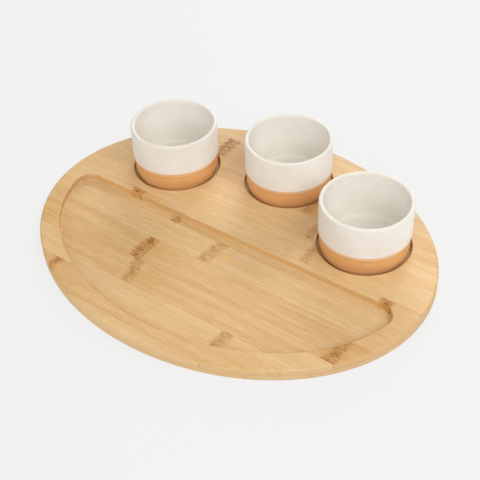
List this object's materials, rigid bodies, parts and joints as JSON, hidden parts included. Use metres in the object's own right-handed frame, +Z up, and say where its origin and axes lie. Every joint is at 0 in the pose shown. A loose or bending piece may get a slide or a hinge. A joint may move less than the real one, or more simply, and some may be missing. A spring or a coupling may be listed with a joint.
{
  "type": "chip and dip server",
  "caption": "Oval laminated bamboo board with a D-shaped chip tray, and straight-sided dip bowls with a speckled glaze that stand in round wells and lift out.",
  "frame": {"origin": "centre of the oval board on its underside", "axes": "+X along the board's long axis, +Y from the chip tray towards the bowls, +Z up"},
  "size_m": [0.4, 0.32, 0.0644],
  "materials": {
    "bamboo_light": "satin, oiled",
    "bamboo_honey": "satin, oiled",
    "bamboo_amber": "satin, oiled",
    "terracotta": "matte, bare",
    "cream_glaze": "satin, speckled"
  },
  "bodies": {
    "board": {"bottom_stave_01": "bamboo_honey", "bottom_stave_02": "bamboo_light", "bottom_stave_03": "bamboo_honey", "bottom_stave_04": "bamboo_honey", "bottom_stave_05": "bamboo_light", "bottom_stave_06": "bamboo_light", "bottom_stave_07": "bamboo_amber", "bottom_stave_08": "bamboo_honey", "bottom_stave_09": "bamboo_light", "bottom_stave_10": "bamboo_honey", "bottom_stave_11": "bamboo_amber", "top_stave_01": "bamboo_light", "top_stave_02": "bamboo_honey", "top_stave_03_left": "bamboo_light", "top_stave_03_right": "bamboo_light", "top_stave_04_left": "bamboo_amber", "top_stave_04_right": "bamboo_amber", "top_stave_05_left": "bamboo_honey", "top_stave_05_right": "bamboo_honey", "top_stave_06": "bamboo_light", "top_stave_07": "bamboo_light", "top_stave_08_left": "bamboo_light", "top_stave_08_middle": "bamboo_light", "top_stave_08_right": "bamboo_light", "top_stave_09_outer_left": "bamboo_honey", "top_stave_09_inner_left": "bamboo_honey", "top_stave_09_inner_right": "bamboo_honey", "top_stave_09_outer_right": "bamboo_honey", "top_stave_10_left": "bamboo_light", "top_stave_10_right": "bamboo_light", "top_stave_11": "bamboo_light", "top_stave_12": "bamboo_honey"},
    "left_bowl": {"left_bowl_clay_body": "terracotta", "left_bowl_glaze_coat": "cream_glaze"},
    "middle_bowl": {"middle_bowl_clay_body": "terracotta", "middle_bowl_glaze_coat": "cream_glaze"},
    "right_bowl": {"right_bowl_clay_body": "terracotta", "right_bowl_glaze_coat": "cream_glaze"}
  },
  "joints": [
    {"name": "left_bowl_lift", "type": "slide", "parent": "board", "child": "left_bowl", "axis": [0, 0, 1], "range_m": [0, 0.08]},
    {"name": "middle_bowl_lift", "type": "slide", "parent": "board", "child": "middle_bowl", "axis": [0, 0, 1], "range_m": [0, 0.08]},
    {"name": "right_bowl_lift", "type": "slide", "parent": "board", "child": "right_bowl", "axis": [0, 0, 1], "range_m": [0, 0.08]}
  ]
}
